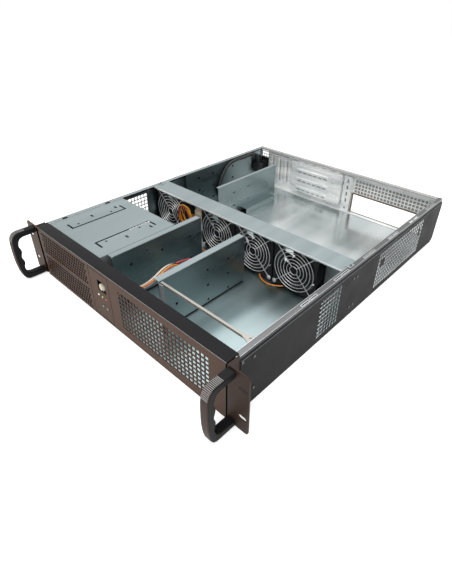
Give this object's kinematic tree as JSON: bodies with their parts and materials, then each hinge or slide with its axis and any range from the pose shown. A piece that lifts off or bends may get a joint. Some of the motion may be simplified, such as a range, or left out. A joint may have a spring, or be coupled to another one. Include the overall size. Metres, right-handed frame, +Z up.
{
  "type": "rackmount server case",
  "caption": "Open two-unit rackmount case with slotted ears, bow handles, perforated front, drive cage, fan wall with guarded fans, partitions and expansion slots.",
  "frame": {"origin": "middle of the case's footprint, on the surface it rests on", "axes": "+X to the right seen from the front, +Y from the front to the back, +Z up"},
  "size_m": [0.4826, 0.601, 0.088],
  "materials": {
    "dark_shell": "satin dark grey paint",
    "bronze_shell": "satin dark bronze paint",
    "zinc": "zinc-plated sheet, softly streaked",
    "zinc_dark": "zinc-plated sheet in shade",
    "bright_plate": "bright plated sheet",
    "wire_chrome": "bright plated wire",
    "black_plastic": "matt black",
    "black_lead": "satin black",
    "cream_plastic": "satin cream",
    "grey_ribbon": "satin grey",
    "red_wire": "satin red",
    "yellow_wire": "satin yellow",
    "board_green": "satin green",
    "lamp_white": "clear white",
    "lamp_green": "clear yellow-green",
    "lamp_red": "clear red"
  },
  "bodies": {
    "case": {"chassis_tub": "dark_shell", "front_bezel": "bronze_shell", "control_plate": "bronze_shell", "control_board": "board_green", "lamp_white": "lamp_white", "lamp_green": "lamp_green", "lamp_red": "lamp_red", "ear_left": "bronze_shell", "ear_right": "bronze_shell", "handle_left": "bronze_shell", "handle_right": "bronze_shell", "drive_cage": "zinc", "cage_partition": "zinc_dark", "centre_partition": "zinc_dark", "cross_brace": "bright_plate", "bay_partition": "zinc_dark", "bay_side_plate": "zinc_dark", "fan_wall": "zinc", "rear_panel": "bright_plate", "upright_cover_1": "bright_plate", "upright_cover_2": "bright_plate", "upright_cover_3": "bright_plate", "riser_cover_1": "bright_plate", "riser_cover_2": "bright_plate", "riser_cover_3": "bright_plate", "riser_frame": "bright_plate", "strap_bracket": "bright_plate", "power_inlet": "black_plastic", "inlet_plug": "black_plastic", "supply_plug": "black_plastic", "power_lead": "black_lead", "front_bundle": "grey_ribbon", "front_connector": "cream_plastic", "red_lead": "red_wire", "fan_lead_2": "yellow_wire", "fan_lead_3": "yellow_wire", "fan_wire_coil": "yellow_wire", "fan_connectors": "cream_plastic", "fan_frame_1": "black_plastic", "fan_guard_1": "wire_chrome", "fan_frame_2": "black_plastic", "fan_guard_2": "wire_chrome", "fan_frame_3": "black_plastic", "fan_guard_3": "wire_chrome", "fan_frame_4": "black_plastic", "fan_guard_4": "wire_chrome"},
    "rotor_1": {"fan_rotor_1": "black_plastic"},
    "rotor_2": {"fan_rotor_2": "black_plastic"},
    "rotor_3": {"fan_rotor_3": "black_plastic"},
    "rotor_4": {"fan_rotor_4": "black_plastic"},
    "power_button": {"power_button": "cream_plastic"},
    "mute_button": {"mute_button": "cream_plastic"},
    "reset_button": {"reset_button": "cream_plastic"}
  },
  "joints": [
    {"name": "fan_1_spin", "type": "hinge", "parent": "case", "child": "rotor_1", "pos_m": [-0.168, -0.0076, 0.0438], "axis": [0, 1, 0], "continuous": true},
    {"name": "fan_2_spin", "type": "hinge", "parent": "case", "child": "rotor_2", "pos_m": [-0.0436, -0.0076, 0.0438], "axis": [0, 1, 0], "continuous": true},
    {"name": "fan_3_spin", "type": "hinge", "parent": "case", "child": "rotor_3", "pos_m": [0.0392, -0.0076, 0.0438], "axis": [0, 1, 0], "continuous": true},
    {"name": "fan_4_spin", "type": "hinge", "parent": "case", "child": "rotor_4", "pos_m": [0.122, -0.0076, 0.0438], "axis": [0, 1, 0], "continuous": true},
    {"name": "power_button_press", "type": "slide", "parent": "case", "child": "power_button", "axis": [0, 1, 0], "range_m": [0, 0.0015], "stiffness_N_per_m": 400, "springref_m": -0.001},
    {"name": "mute_button_press", "type": "slide", "parent": "case", "child": "mute_button", "axis": [0, 1, 0], "range_m": [0, 0.0015], "stiffness_N_per_m": 400, "springref_m": -0.001},
    {"name": "reset_button_press", "type": "slide", "parent": "case", "child": "reset_button", "axis": [0, 1, 0], "range_m": [0, 0.0015], "stiffness_N_per_m": 400, "springref_m": -0.001}
  ]
}
